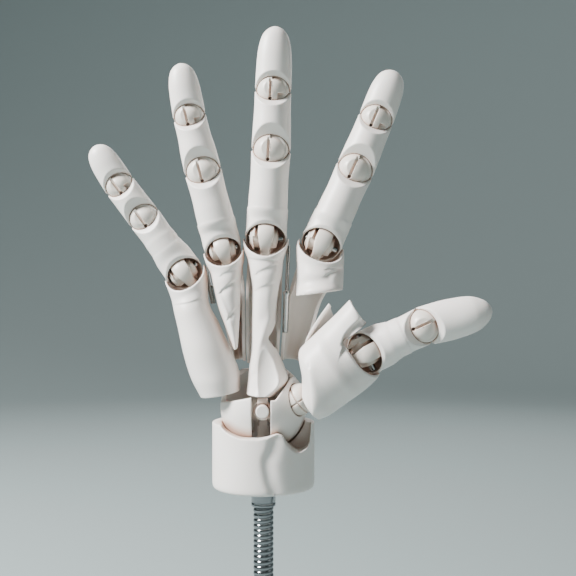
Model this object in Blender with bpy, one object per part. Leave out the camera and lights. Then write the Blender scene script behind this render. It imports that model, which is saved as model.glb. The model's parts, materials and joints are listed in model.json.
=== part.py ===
"""A poseable artificial right hand on a flexible steel neck.

The palm faces -Y, the fingers point to +Z and the thumb to +X. The origin is the flat shoulder
of the lower fitting, where the neck stands on whatever carries it. Sizes below are millimetres.
"""

import math

import bmesh
import bpy
from mathutils import Matrix, Vector

MM = 0.001

# Neck, from the mounting shoulder upwards
FITTING_HEIGHT = 18.0
NECK_RADIUS = 5.1
NECK_LENGTH = 75.0
FERRULE_RADIUS = 6.1
FERRULE_SHOWN = 10.0
STUD_RADIUS = 4.9
STUD_LENGTH = 14.0
CUFF_Z = FITTING_HEIGHT + NECK_LENGTH + FERRULE_SHOWN

# Cuff and wrist ball. Heights of the hand are counted from the cuff's foot.
CUFF_HEIGHT = 32.5
CUFF_HALF_WIDTH = 25.5
CUFF_HALF_DEPTH = 24.4
WRIST_HEIGHT = 40.0
WRIST_RADIUS = 21.5
CHANNEL_LEFT = -5.2
CHANNEL_RIGHT = 3.9
BOSS_RADIUS = 3.2

# Fingers: joint centres (x, height above the cuff's foot) and radii at the three joints
FINGERS = {
    "index": dict(
        mcp=(28.9, 121.3), pip=(45.8, 158.2), dip=(56.3, 183.4), tip=(65.3, 207.8),
        radii=(10.3, 9.7, 8.9), lean=13.4, cup=((1.0, 1.0), (0.99, 1.11), (0.886, 1.2)),
    ),
    "middle": dict(
        mcp=(1.2, 124.0), pip=(3.8, 167.8), dip=(4.8, 197.6), tip=(6.0, 230.0),
        radii=(10.3, 9.9, 9.1), lean=0.6,
    ),
    "ring": dict(
        mcp=(-20.0, 118.0), pip=(-30.2, 157.2), dip=(-37.0, 184.6), tip=(-41.7, 211.5),
        radii=(9.0, 9.3, 8.2), lean=-9.0,
    ),
    "pinky": dict(
        mcp=(-39.6, 106.8), pip=(-59.7, 134.2), dip=(-71.9, 150.2), tip=(-84.7, 170.0),
        radii=(9.4, 8.2, 7.8), lean=-22.8, cup=((1.0, 1.0), (1.0, 0.93), (1.03, 0.78)),
    ),
}
# Left and right widths of the three cross-lines of a knuckle cup, as shares of the knuckle
NARROWING = ((1.0, 1.0), (0.93, 0.93), (0.78, 0.78))
THUMB = dict(
    cmc=(17.8, -10.0, 44.6), mcp=(49.7, -16.0, 67.7), ip=(77.1, -20.0, 80.9), tip=(109.6, -22.0, 88.7),
    radii=(10.9, 9.3), ball=7.8,
)

GAP = 0.3
HINGE_GAP = 0.45
CUP_GAP = 0.45
CUP_WALL = 0.7
SOCKET_WALL = 1.3
BALL_SHARE = 0.84
UPPER_LID, LOWER_LID = 36.0, 138.0
DIP_UPPER_LID, DIP_LOWER_LID = 42.0, 136.0
MCP_UPPER_LID, MCP_LOWER_LID = 44.0, 130.0
THUMB_LOWER_LID = 112.0
LIP_ANGLE = 215.0
KNUCKLE_ANGLE = -112.0
COVER_WALL = 1.8
ROD_RADIUS = 1.15
SLEEVE_RADIUS = 2.0
ROUND = 14
REACH = 60.0


# ---- meshes ---------------------------------------------------------------------------------


def material(name, colour, roughness, metallic=0.0):
    """The named Principled material, made once."""
    found = bpy.data.materials.get(name)
    if found:
        return found
    made = bpy.data.materials.new(name)
    made.use_nodes = True
    shader = made.node_tree.nodes["Principled BSDF"]
    shader.inputs["Base Color"].default_value = (*colour, 1.0)
    shader.inputs["Roughness"].default_value = roughness
    shader.inputs["Metallic"].default_value = metallic
    return made


def white_resin():
    return material("white_resin", (0.86, 0.84, 0.82), 0.38)


def cream_resin():
    return material("cream_resin", (0.78, 0.74, 0.68), 0.32)


def steel():
    return material("steel", (0.62, 0.62, 0.6), 0.25, 1.0)


def chrome():
    return material("chrome", (0.75, 0.76, 0.77), 0.08, 1.0)


def make(name, points, faces, look, place=None):
    """An object from points laid out in the frame `place`. main() scales it from millimetres."""
    place = place or Matrix()
    mesh = bpy.data.meshes.new(name)
    mesh.from_pydata([place @ Vector(p) for p in points], [], faces)
    mesh.validate()
    mesh.update()
    obj = bpy.data.objects.new(name, mesh)
    bpy.context.scene.collection.objects.link(obj)
    mesh.materials.append(look or white_resin())
    return obj


def combine(body, other, operation):
    """Applies one Boolean and removes the second object.

    The Exact solver leaves open edges where a socket and a lid plane meet on these lofts.
    """
    look = body.data.materials[0]
    modifier = body.modifiers.new("combine", "BOOLEAN")
    modifier.solver = "MANIFOLD"
    modifier.operation = operation
    modifier.object = other
    graph = bpy.context.evaluated_depsgraph_get()
    done = bpy.data.meshes.new_from_object(body.evaluated_get(graph))
    body.modifiers.clear()
    body.data = done
    done.materials.clear()
    done.materials.append(look)
    bpy.data.objects.remove(other)
    return body


def cut(body, *cutters):
    for cutter in cutters:
        combine(body, cutter, "DIFFERENCE")
    return body


def join(body, *others):
    for other in others:
        combine(body, other, "UNION")
    return body


def oval(z, rx, ry, count=ROUND, cx=0.0, cy=0.0):
    """One ring of points round the Z axis."""
    turn = 2 * math.pi / count
    return [(cx + rx * math.cos(turn * k), cy + ry * math.sin(turn * k), z) for k in range(count)]


def loft(name, rings, look=None, place=None):
    """A solid through rings of equal length, lowest first, closed by a fan at each end."""
    count = len(rings[0])
    points = [p for ring in rings for p in ring]
    faces = []
    for level in range(len(rings) - 1):
        low, high = level * count, (level + 1) * count
        for k in range(count):
            after = (k + 1) % count
            faces.append((low + k, low + after, high + after, high + k))
    for ring, base, up in ((rings[0], 0, False), (rings[-1], len(points) - count, True)):
        middle = len(points)
        points.append(tuple(sum(p[axis] for p in ring) / count for axis in range(3)))
        for k in range(count):
            after = (k + 1) % count
            faces.append((base + k, base + after, middle) if up else (base + after, base + k, middle))
    return make(name, points, faces, look, place)


def turned(name, profile, look=None, place=None, count=ROUND):
    """A solid of revolution about Z from (radius, z) points, lowest first."""
    return loft(name, [oval(z, max(r, 0.01), max(r, 0.01), count) for r, z in profile], look, place)


def rod(name, radius, low, high, look=None, count=12):
    """A round bar between two points."""
    low, high = Vector(low), Vector(high)
    length = (high - low).length
    place = frame_along(low, high)
    return turned(name, [(radius, 0.0), (radius, length)], look, place, count)


def ball(name, centre, radius, look=None, count=ROUND, rows=7):
    """A round ball with its poles on the X axis."""
    profile = []
    for row in range(rows + 1):
        angle = math.pi * (row / rows - 0.5)
        profile.append((radius * math.cos(angle), radius * math.sin(angle)))
    place = Matrix.Translation(Vector(centre)) @ Matrix.Rotation(math.pi / 2, 4, "Y")
    return turned(name, profile, look, place, count)


def prism(name, outline, low, high, look=None, place=None):
    """An outline of (y, z) points pushed along X from low to high."""
    count = len(outline)
    points = [(low, y, z) for y, z in outline] + [(high, y, z) for y, z in outline]
    area = sum(
        a[0] * b[1] - b[0] * a[1] for a, b in zip(outline, outline[1:] + outline[:1], strict=True)
    )
    faces = [tuple(reversed(range(count))), tuple(range(count, 2 * count))]
    faces += [(k, (k + 1) % count, count + (k + 1) % count, count + k) for k in range(count)]
    if area < 0:
        faces = [tuple(reversed(face)) for face in faces]
    return make(name, points, faces, look, place)


def block(name, low, high, look=None, place=None):
    """A box between two corners."""
    outline = [(low[1], low[2]), (high[1], low[2]), (high[1], high[2]), (low[1], high[2])]
    return prism(name, outline, low[0], high[0], look, place)


def wedge(place, height, start, end, left=-60.0, right=60.0):
    """A cutter fanned about the X axis at this height. Angles run from +Z towards the palm."""
    steps = max(1, math.ceil(abs(end - start) / 60))
    outline = [(0.0, height)]
    for step in range(steps + 1):
        angle = math.radians(start + (end - start) * step / steps)
        outline.append((-REACH * math.sin(angle), height + REACH * math.cos(angle)))
    return prism("wedge", outline, left, right, None, place)


# ---- frames ---------------------------------------------------------------------------------


def at(spot):
    """A joint centre as a point: (x, height) lies in the middle plane of the hand."""
    if len(spot) == 2:
        return Vector((spot[0], 0.0, CUFF_Z + spot[1]))
    return Vector((spot[0], spot[1], CUFF_Z + spot[2]))


def frame_along(base, tip):
    """Origin at base, Z towards tip, Y to the back of the hand."""
    up = (Vector(tip) - Vector(base)).normalized()
    back = Vector((0.0, 1.0, 0.0))
    if abs(up.y) > 0.99:
        back = Vector((0.0, 0.0, 1.0))
    back = (back - back.dot(up) * up).normalized()
    side = back.cross(up)
    turn = Matrix((side, back, up)).transposed().to_4x4()
    return Matrix.Translation(Vector(base)) @ turn


def frame_leaning(base, degrees):
    """Origin at base, Z leaning towards +X by so many degrees."""
    lean = math.radians(degrees)
    return frame_along(base, Vector(base) + Vector((math.sin(lean), 0.0, math.cos(lean))))


# ---- finger bones ---------------------------------------------------------------------------


def knuckle_rings(radius):
    """The rounded foot of a proximal cover, concentric with its joint."""
    rings = []
    for angle in (56, 38, 19):
        turn = math.radians(angle)
        rings.append(oval(-radius * math.sin(turn), radius * math.cos(turn), radius * math.cos(turn)))
    return rings


def lid_cutters(place, height, radius, start, end):
    """The socket of a hinge ball and the opening on the palm side of the hinge."""
    socket = ball("socket", place @ Vector((0, 0, height)), radius * BALL_SHARE + HINGE_GAP)
    return socket, wedge(place, height, start, end)


def trim_foot(cover, hinge, radius, start):
    """Opens the lower end of a cover round its hinge, square to the bone below it."""
    below = block("below", (-REACH, -REACH, -REACH), (REACH, REACH, HINGE_GAP), None, hinge)
    return cut(cover, below, *lid_cutters(hinge, 0.0, radius, start, 120.0))


def proximal_cover(name, base, tip, knuckle, radius):
    """The first bone's cover: a ball foot, a slightly stepped collar and a tapering body."""
    place = frame_along(base, tip)
    length = (tip - base).length
    seam = 14.5
    rings = knuckle_rings(knuckle)
    rings += [oval(0.0, knuckle, knuckle), oval(4.0, max(knuckle, radius * 1.03), knuckle)]
    rings += [oval(seam, radius * 1.04, radius), oval(seam + 0.8, radius * 1.0, radius * 0.96)]
    rings += [oval(0.68 * length, radius * 0.97, radius * 0.93)]
    rings += [oval(length - HINGE_GAP, radius, radius * 0.97)]
    cover = loft(name, rings, white_resin(), place)
    foot = ball("foot", base, knuckle - SOCKET_WALL)
    cut(cover, foot, wedge(place, 0.0, MCP_UPPER_LID, LIP_ANGLE))
    return cut(cover, *lid_cutters(place, length, radius, 60.0, LOWER_LID))


def middle_cover(name, hinge, base, tip, low, high):
    """The second bone's cover, open round a hinge ball at each end."""
    place = frame_along(base, tip)
    length = (tip - base).length
    rings = [oval(-2.5, low, low * 0.97), oval(0.35 * length, low * 0.97, low * 0.92)]
    rings += [oval(0.7 * length, high * 1.01, high * 0.94), oval(length - HINGE_GAP, high, high * 0.96)]
    cover = loft(name, rings, white_resin(), place)
    trim_foot(cover, hinge, low, UPPER_LID)
    return cut(cover, *lid_cutters(place, length, high, 60.0, DIP_LOWER_LID))


def distal_cover(name, hinge, base, tip, radius, fullness=0.98):
    """The fingertip's cover: full at its middle, rounded over the end, flatter at the nail."""
    place = frame_along(base, tip)
    length = (tip - base).length
    rings = [oval(-2.5, radius, radius * 0.96)]
    shape = ((0.3, 1.0), (0.55, 0.96), (0.72, 0.87), (0.86, 0.69), (0.95, 0.42), (0.99, 0.16))
    for share, width in shape:
        wide = radius * width * (fullness if share < 0.8 else 1.0)
        rings.append(oval(share * length, wide, wide * 0.82, ROUND, 0.0, -0.04 * radius * share))
    return trim_foot(loft(name, rings, white_resin(), place), hinge, radius, DIP_UPPER_LID)


def hinge_ball(name, hinge, radius):
    """A hinge ball with the slot of its friction spring on the palm side."""
    size = radius * BALL_SHARE
    body = ball(name, hinge.translation, size, cream_resin())
    slot = block("slot", (-1.5, -size - 1, -0.62 * size), (-0.3, -0.72 * size, 0.62 * size), None, hinge)
    return cut(body, slot)


def knuckle_hub(name, place, knuckle):
    """The turned core of a knuckle: a broad crowned band between two pockets, and its stem."""
    size = knuckle - SOCKET_WALL - HINGE_GAP
    band, end, pocket = 3.9, 0.87 * size, 0.53 * size

    def crown(x):
        return math.sqrt(size * size - x * x)

    profile = [(0.45 * size, -end), (pocket, -end + 1.0), (pocket, -band), (crown(band), -band)]
    profile += [(crown(2.0), -2.0), (size, 0.0), (crown(2.0), 2.0), (crown(band), band)]
    profile += [(pocket, band), (pocket, end - 1.0), (0.45 * size, end)]
    lying = place @ Matrix.Rotation(math.pi / 2, 4, "Y")
    body = turned(name, profile, cream_resin(), lying, 12)
    stem = rod("stem", 2.6, place @ Vector((0, 0, -4)), place @ Vector((0, 0, -11.8)), None, 8)
    join(body, stem)
    reach = 2 * size
    bore = rod("bore", 1.9, place @ Vector((-reach, 0, 0)), place @ Vector((reach, 0, 0)), None, 8)
    return cut(body, bore)


def knuckle_pin(name, place, knuckle):
    """The steel cross pin that a proximal cover turns on."""
    half = knuckle - SOCKET_WALL - HINGE_GAP - 0.4
    return rod(name, 1.5, place @ Vector((-half, 0, 0)), place @ Vector((half, 0, 0)), steel(), 8)


def finger(name, spec):
    """All moving pieces of one finger."""
    mcp, pip, dip, tip = (at(spec[key]) for key in ("mcp", "pip", "dip", "tip"))
    knuckle, first, second = spec["radii"]
    root = frame_along(mcp, pip)
    proximal_cover(f"{name}_proximal_cover", mcp, pip, knuckle, first)
    pip_hinge = root @ Matrix.Translation((0, 0, (pip - mcp).length))
    dip_hinge = frame_along(pip, dip) @ Matrix.Translation((0, 0, (dip - pip).length))
    middle_cover(f"{name}_middle_cover", pip_hinge, pip, dip, first, second)
    distal_cover(f"{name}_distal_cover", dip_hinge, dip, tip, second)
    hinge_ball(f"{name}_pip_ball", pip_hinge, first)
    hinge_ball(f"{name}_dip_ball", dip_hinge, second)
    knuckle_hub(f"{name}_knuckle_hub", root, knuckle)
    knuckle_pin(f"{name}_knuckle_pin", root, knuckle)


# ---- palm -----------------------------------------------------------------------------------


def rung(left, right, edge, bulge):
    """One cross-line of a cover: its two edge points, the depth of its edges and its crown."""
    return dict(left=left, right=right, edge=edge, bulge=bulge)


def cup_rungs(spec, side):
    """The three top cross-lines of a palm cover, a half cup that narrows below the knuckle."""
    knuckle = spec["radii"][0] + CUP_GAP + CUP_WALL
    lean = math.radians(spec["lean"])
    shares = NARROWING
    if side < 0:
        shares = spec.get("cup", NARROWING)
    rungs = []
    for drop, (near, far) in zip((0.0, 5.5, 10.5), shares):
        x = spec["mcp"][0] - drop * math.sin(lean)
        z = spec["mcp"][1] - drop * math.cos(lean)
        dx, dz = knuckle * math.cos(lean), knuckle * math.sin(lean)
        ends = (x - near * dx, z + near * dz), (x + far * dx, z - far * dz)
        rungs.append(rung(*ends, side * 0.2, knuckle - 0.2))
    return rungs


def arch(line, side, wall, steps):
    """Outer and inner points over one cross-line, from its left edge to its right edge."""
    left, right = at(line["left"]), at(line["right"])
    middle, half = (left + right) / 2, (right - left) / 2
    thin = min(wall, 0.45 * half.length)
    inner_share = 1.0 - thin / half.length
    inner_bulge = max(line["bulge"] - wall, 0.15 * line["bulge"])
    outer, inner = [], []
    for step in range(steps + 1):
        turn = math.pi * (1 - step / steps)
        across, out = math.cos(turn), abs(math.sin(turn)) ** 0.85
        depth = Vector((0.0, line["edge"] + side * line["bulge"] * out, 0.0))
        outer.append(middle + half * across + depth)
        depth = Vector((0.0, line["edge"] + side * inner_bulge * out, 0.0))
        inner.append(middle + half * across * inner_share + depth)
    return outer, inner


def cover(name, rungs, side, wall=COVER_WALL, steps=10):
    """A curved cover through cross-lines from top to bottom. side is -1 for the palm, 1 for the back."""
    arches = [arch(line, side, wall if k > 2 else CUP_WALL, steps) for k, line in enumerate(rungs)]
    wide, rows = steps + 1, len(arches)
    points = [p for outer, inner in arches for p in outer + inner]

    def outer(row, k):
        return row * 2 * wide + k

    def inner(row, k):
        return row * 2 * wide + wide + k

    faces = []
    for row in range(rows - 1):
        for k in range(steps):
            faces.append((outer(row, k), outer(row + 1, k), outer(row + 1, k + 1), outer(row, k + 1)))
            faces.append((inner(row, k), inner(row, k + 1), inner(row + 1, k + 1), inner(row + 1, k)))
        faces.append((outer(row, 0), inner(row, 0), inner(row + 1, 0), outer(row + 1, 0)))
        last = steps
        faces.append((outer(row, last), outer(row + 1, last), inner(row + 1, last), inner(row, last)))
    for k in range(steps):
        faces.append((outer(0, k), outer(0, k + 1), inner(0, k + 1), inner(0, k)))
        row = rows - 1
        faces.append((outer(row, k), inner(row, k), inner(row, k + 1), outer(row, k + 1)))
    if side > 0:
        faces = [tuple(reversed(face)) for face in faces]
    return make(name, points, faces, white_resin())


def knuckle_window(piece, spec, side):
    """Trims the top of a palm cover to leave its two horns at the sides of the knuckle."""
    place = frame_leaning(at(spec["mcp"]), spec["lean"])
    if side < 0:
        return cut(piece, wedge(place, 0.0, 60.0, MCP_LOWER_LID))
    return cut(piece, wedge(place, 0.0, KNUCKLE_ANGLE, -60.0))


def palm_cover(name, spec, side, lower):
    """A metacarpal cover: its knuckle cup, then the given cross-lines below."""
    piece = cover(name, cup_rungs(spec, side) + lower, side)
    return knuckle_window(piece, spec, side)


def middle_ray():
    spec = FINGERS["middle"]
    front = [
        rung((-6.6, 106.0), (9.2, 106.0), -1.5, 10.2),
        rung((-5.4, 98.0), (7.6, 98.0), -2.0, 9.8),
        rung((-5.6, 84.0), (6.1, 84.0), -2.5, 10.0),
        rung((-5.8, 72.0), (6.0, 72.0), -2.5, 11.0),
        rung((-7.0, 60.0), (10.0, 61.5), -3.0, 13.4),
        rung((-8.0, 50.5), (12.4, 54.0), -4.5, 15.0),
        rung((-8.2, 47.2), (6.0, 46.4), -6.0, 14.4),
    ]
    back = [
        rung((-8.4, 106.0), (9.4, 106.0), 0.6, 9.6),
        rung((-8.2, 90.0), (9.0, 90.0), 0.6, 9.2),
        rung((-8.0, 70.0), (8.0, 70.0), 0.6, 10.0),
        rung((-7.8, 62.5), (7.5, 62.5), 0.6, 12.0),
    ]
    palm_cover("middle_palm_cover", spec, -1, front)
    palm_cover("middle_back_cover", spec, 1, back)
    stepped_rod("middle_rod", (13.5, -2.0, 120.0), (11.0, -2.0, 96.0), (9.0, -2.0, 77.0))


def index_ray():
    spec = FINGERS["index"]
    front = [
        rung((16.5, 106.0), (39.9, 103.5), -0.8, 12.5),
        rung((15.9, 95.0), (39.4, 98.0), -1.5, 14.0),
    ]
    back = [
        rung((15.4, 106.0), (36.5, 106.0), 0.6, 11.4),
        rung((11.6, 92.0), (29.0, 92.0), 0.6, 12.0),
        rung((9.4, 76.0), (24.2, 76.0), 0.6, 12.5),
        rung((8.4, 63.0), (19.5, 62.0), 0.6, 13.0),
    ]
    palm_cover("index_palm_cover", spec, -1, front)
    palm_cover("index_back_cover", spec, 1, back)
    stepped_rod("index_rod", (25.9, 5.0, 108.5), (24.8, 5.0, 103.5), (23.6, 5.0, 98.4))


def ring_ray():
    spec = FINGERS["ring"]
    front = [
        rung((-25.0, 101.0), (-11.2, 102.0), -2.0, 9.0),
        rung((-22.4, 90.0), (-11.3, 91.0), -3.5, 7.6),
        rung((-18.2, 79.0), (-11.8, 80.0), -6.0, 5.4),
        rung((-14.2, 68.5), (-12.4, 69.5), -8.0, 3.6),
    ]
    back = [
        rung((-23.4, 99.0), (-9.6, 100.0), 0.6, 9.0),
        rung((-20.2, 84.0), (-9.1, 84.0), 0.6, 9.6),
        rung((-16.8, 68.0), (-8.9, 68.0), 0.6, 10.8),
        rung((-16.2, 62.5), (-8.7, 62.5), 0.6, 11.6),
    ]
    palm_cover("ring_palm_cover", spec, -1, front)
    palm_cover("ring_back_cover", spec, 1, back)
    stepped_rod("ring_rod", (-17.5, 5.0, 101.5), (-15.6, 5.0, 91.0), (-13.8, 5.2, 80.0))


def pinky_ray():
    spec = FINGERS["pinky"]
    front = [
        rung((-44.6, 88.0), (-27.2, 92.5), -1.0, 12.0),
        rung((-42.4, 79.0), (-22.2, 82.0), -1.5, 13.5),
        rung((-39.6, 66.5), (-15.4, 67.0), -2.0, 15.5),
        rung((-36.0, 55.0), (-11.6, 55.5), -2.5, 15.5),
        rung((-30.8, 45.0), (-11.4, 48.4), -3.5, 13.5),
    ]
    back = [
        rung((-43.6, 88.0), (-29.0, 91.0), 0.6, 10.0),
        rung((-40.6, 76.0), (-20.2, 77.0), 0.6, 10.8),
        rung((-36.4, 66.0), (-17.8, 66.0), 0.6, 11.6),
        rung((-33.0, 60.0), (-17.2, 61.0), 0.6, 11.6),
    ]
    palm_cover("pinky_palm_cover", spec, -1, front)
    palm_cover("pinky_back_cover", spec, 1, back)
    stepped_rod("pinky_rod", (-30.4, 7.2, 110.0), (-26.8, 7.2, 99.5), (-24.0, 7.2, 91.5))


def stepped_rod(name, top, collar, foot):
    """A polished rod in its sleeve: thin above the collar, thicker below."""
    top, collar, foot = at(top), at(collar), at(foot)
    place = frame_along(foot, top)
    sleeve = (collar - foot).length
    length = (top - foot).length
    profile = [(SLEEVE_RADIUS, 0.0), (SLEEVE_RADIUS, sleeve - 2.5), (1.6, sleeve - 2.5), (1.6, sleeve)]
    profile += [(ROD_RADIUS, sleeve), (ROD_RADIUS, length)]
    return turned(name, profile, steel(), place, 8)


# ---- thumb ----------------------------------------------------------------------------------


def thumb_covers():
    """The broad ball-of-thumb cover and the cover on its back."""
    cmc, mcp = at(THUMB["cmc"]), at(THUMB["mcp"])
    place = frame_along(cmc, mcp)
    length = (mcp - cmc).length
    knuckle = THUMB["radii"][0] + CUP_GAP + CUP_WALL
    front = [
        (length + 9.0, -25.5, -11.5, 0.0, 8.0),
        (length, -23.8, knuckle, 0.0, knuckle),
        (length - 10.0, -22.4, 14.2, 0.0, 14.5),
        (0.6 * length, -21.5, 14.4, 0.0, 16.5),
        (0.38 * length, -20.0, 14.4, -0.5, 16.5),
        (0.22 * length, -9.0, 14.2, -2.0, 14.5),
        (0.09 * length, -2.0, 13.0, -3.0, 11.5),
    ]
    back = [
        (length, -30.0, knuckle, 0.4, knuckle - 0.4),
        (0.75 * length, -26.6, 12.4, 0.4, 10.5),
        (0.5 * length, -22.0, 12.0, 0.4, 9.0),
        (0.42 * length, -19.0, 11.0, 0.4, 8.0),
    ]
    ball_room = THUMB["ball"] + 2 * GAP
    thenar = local_cover("thenar_cover", front, -1, place)
    cut(thenar, ball("room", cmc, ball_room), wedge(place, length, -20.0, THUMB_LOWER_LID, -11.8))
    cut(thenar, knuckle_room(place, length))
    behind = local_cover("thumb_back_cover", back, 1, place)
    cut(behind, wedge(place, length, KNUCKLE_ANGLE, -60.0))
    return cut(behind, knuckle_room(place, length), ball("room", cmc, ball_room))


def knuckle_room(place, length):
    """The round space for the foot of the thumb's proximal cover."""
    low, high = place @ Vector((0, 0, length - 11.0)), place @ Vector((0, 0, length + 3.0))
    return rod("room", THUMB["radii"][0] + 2 * GAP, low, high, None, 20)


def local_cover(name, lines, side, place):
    """A cover from (height, left, right, edge, bulge) lines laid out in a bone's own frame."""
    steps, wall = 12, 2.0
    arches = []
    for height, left, right, edge, bulge in lines:
        middle, half = (left + right) / 2, (right - left) / 2
        outer, inner = [], []
        for step in range(steps + 1):
            turn = math.pi * (1 - step / steps)
            across, out = math.cos(turn), abs(math.sin(turn)) ** 0.85
            outer.append((middle + half * across, edge + side * bulge * out, height))
            slim = half - min(wall, 0.45 * half)
            inner.append((middle + slim * across, edge + side * (bulge - wall) * out, height))
        arches.append(outer + inner[::-1])
    arches.reverse()
    count = len(arches[0])
    points = [p for line in arches for p in line]
    faces = []
    for row in range(len(arches) - 1):
        low, high = row * count, (row + 1) * count
        for k in range(count):
            after = (k + 1) % count
            faces.append((low + k, low + after, high + after, high + k))
    top = len(points) - count
    for k in range(count // 2 - 1):
        far = count - 1 - k
        faces.append((k + 1, k, far, far - 1))
        faces.append((top + k, top + k + 1, top + far - 1, top + far))
    if side > 0:
        faces = [tuple(reversed(face)) for face in faces]
    return make(name, points, faces, white_resin(), place)


def thumb():
    cmc, mcp, ip, tip = (at(THUMB[key]) for key in ("cmc", "mcp", "ip", "tip"))
    knuckle, first = THUMB["radii"]
    root = frame_along(mcp, ip)
    thumb_covers()
    ball("thumb_root_ball", cmc, THUMB["ball"], cream_resin())
    proximal_cover("thumb_proximal_cover", mcp, ip, knuckle, first)
    hinge = root @ Matrix.Translation((0, 0, (ip - mcp).length))
    distal_cover("thumb_distal_cover", hinge, ip, tip, first, 1.06)
    hinge_ball("thumb_ip_ball", hinge, first)
    knuckle_hub("thumb_knuckle_hub", root, knuckle)
    knuckle_pin("thumb_knuckle_pin", root, knuckle)


# ---- wrist, cuff and neck -------------------------------------------------------------------


def wrist_shell(name, inner_x, side):
    """A hollow dome of the wrist ball, open towards the channel between the two."""
    wall = 2.4
    profile_out, profile_in = [], []
    start = math.degrees(math.asin(abs(inner_x) / WRIST_RADIUS))
    for step in range(7):
        angle = math.radians(start + (90 - start) * step / 6)
        profile_out.append((WRIST_RADIUS * math.cos(angle), WRIST_RADIUS * math.sin(angle)))
    inside = WRIST_RADIUS - wall
    start = math.degrees(math.asin(abs(inner_x) / inside))
    for step in range(6):
        angle = math.radians(start + (90 - start) * (1 - step / 5))
        profile_in.append((inside * math.cos(angle), inside * math.sin(angle)))
    centre = at((0.0, 0.0, WRIST_HEIGHT))
    lying = Matrix.Translation(centre) @ Matrix.Rotation(side * math.pi / 2, 4, "Y")
    dome = turned(name, profile_out, white_resin(), lying, 20)
    hollow = turned("hollow", [(inside * math.cos(math.radians(start)), abs(inner_x) - 3.0)]
                    + profile_in[::-1], None, lying, 20)
    return cut(dome, hollow)


def palm_side_cut(shell, slope):
    """Cuts a wrist shell along an (x, height) line, on the palm side only."""
    turned_x = [(-x, CUFF_Z + height) for x, height in slope]
    upright = Matrix.Rotation(math.pi / 2, 4, "Z")
    return cut(shell, prism("slope", turned_x, -30.0, 0.5, None, upright))


def wrist():
    centre = at((0.0, 0.0, WRIST_HEIGHT))
    left = wrist_shell("ulnar_wrist_shell", CHANNEL_LEFT, -1)
    palm_side_cut(left, [(-30.0, 40.6), (6.0, 49.2), (6.0, 80.0), (-30.0, 80.0)])
    right = wrist_shell("radial_wrist_shell", CHANNEL_RIGHT, 1)
    palm_side_cut(right, [(-6.0, 45.2), (6.2, 45.2), (13.2, 54.4), (33.0, 54.4), (33.0, 80.0), (-6.0, 80.0)])
    cut(right, ball("room", at(THUMB["cmc"]), THUMB["ball"] + GAP))
    for shell in (left, right):
        low, high = Vector((-7.8, -14.0, -30.0)), Vector((7.8, 14.0, -9.0))
        cut(shell, block("post_room", low + centre, high + centre))
        cut(shell, block("top", centre + Vector((-30.0, -30.0, 18.4)), centre + Vector((30.0, 30.0, 40.0))))
    core = ball("wrist_core", centre, 8.5, cream_resin())
    cut(core, block("slot", (-2.4, -12, centre.z - 12), (2.4, 12, centre.z + 5.4)))
    front = centre + Vector((0.0, -WRIST_RADIUS + 0.1, 0.0))
    rod("wrist_pin", BOSS_RADIUS, front, centre + Vector((0.0, -8.9, 0.0)), white_resin(), 20)
    wrist_link(centre)


def wrist_link(centre):
    """The arm in the channel that carries the palm on the wrist pin."""
    low, high = -WRIST_RADIUS + 4.2, -WRIST_RADIUS + 7.6
    arm = block("wrist_link", (-2.4, low, centre.z), (2.4, high, centre.z + 6.2), white_resin())
    eye = rod("eye", BOSS_RADIUS + 1.4, (0, low + 0.4, centre.z), (0, high - 0.4, centre.z), None, 20)
    join(arm, eye)
    bore = rod("bore", BOSS_RADIUS + GAP, (0, low - 5, centre.z), (0, high + 5, centre.z), None, 20)
    return cut(arm, bore)


def cuff():
    """The forearm cuff: a slightly oval cup with a dipped front rim and a relief for the thumb."""
    foot = CUFF_Z
    shape = ((0.0, 0.90), (1.2, 0.955), (3.5, 0.985), (8.0, 1.0), (CUFF_HEIGHT, 1.0))
    rings = [oval(foot + z, CUFF_HALF_WIDTH * s, CUFF_HALF_DEPTH * s, 28) for z, s in shape]
    body = loft("forearm_cuff", rings, white_resin())
    centre = at((0.0, 0.0, WRIST_HEIGHT))
    cup = ball("cup", centre, WRIST_RADIUS + 0.6, None, 20, 12)
    cut(body, cup)
    dip = [(-21.0, 34.0), (-19.5, 31.4), (-15.0, 28.6), (-9.0, 27.2), (-3.0, 27.2), (3.0, 28.2), (7.0, 29.4)]
    relief = [(9.5, 28.6), (11.5, 25.4), (14.5, 22.4), (17.5, 21.2), (20.5, 22.0), (22.8, 24.8), (23.6, 34.0)]
    outline = [(-x, foot + z) for x, z in dip + relief]
    upright = Matrix.Rotation(math.pi / 2, 4, "Z")
    cut(body, prism("dip", outline, -30.0, -3.0, None, upright))
    hole = rod("hole", FERRULE_RADIUS + GAP, (0, 0, foot - 5), (0, 0, foot + 8), None, 20)
    post = rod("post_hole", 3.3, (0, 0, foot + 7), (0, 0, foot + 24), None, 16)
    return cut(body, hole, post)


def forearm_post():
    """The post that stands in the cuff and carries the wrist's cross axis."""
    centre = at((0.0, 0.0, WRIST_HEIGHT))
    body = rod("forearm_post", 3.0, (0, 0, CUFF_Z + 8.5), (0, 0, centre.z - 9.5), cream_resin(), 16)
    blade = block("blade", (-2.0, -2.8, centre.z - 11.0), (2.0, 2.8, centre.z))
    eye = rod("eye", 4.6, (-2.0, 0, centre.z), (2.0, 0, centre.z), None, 16)
    return join(body, blade, eye)


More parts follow.
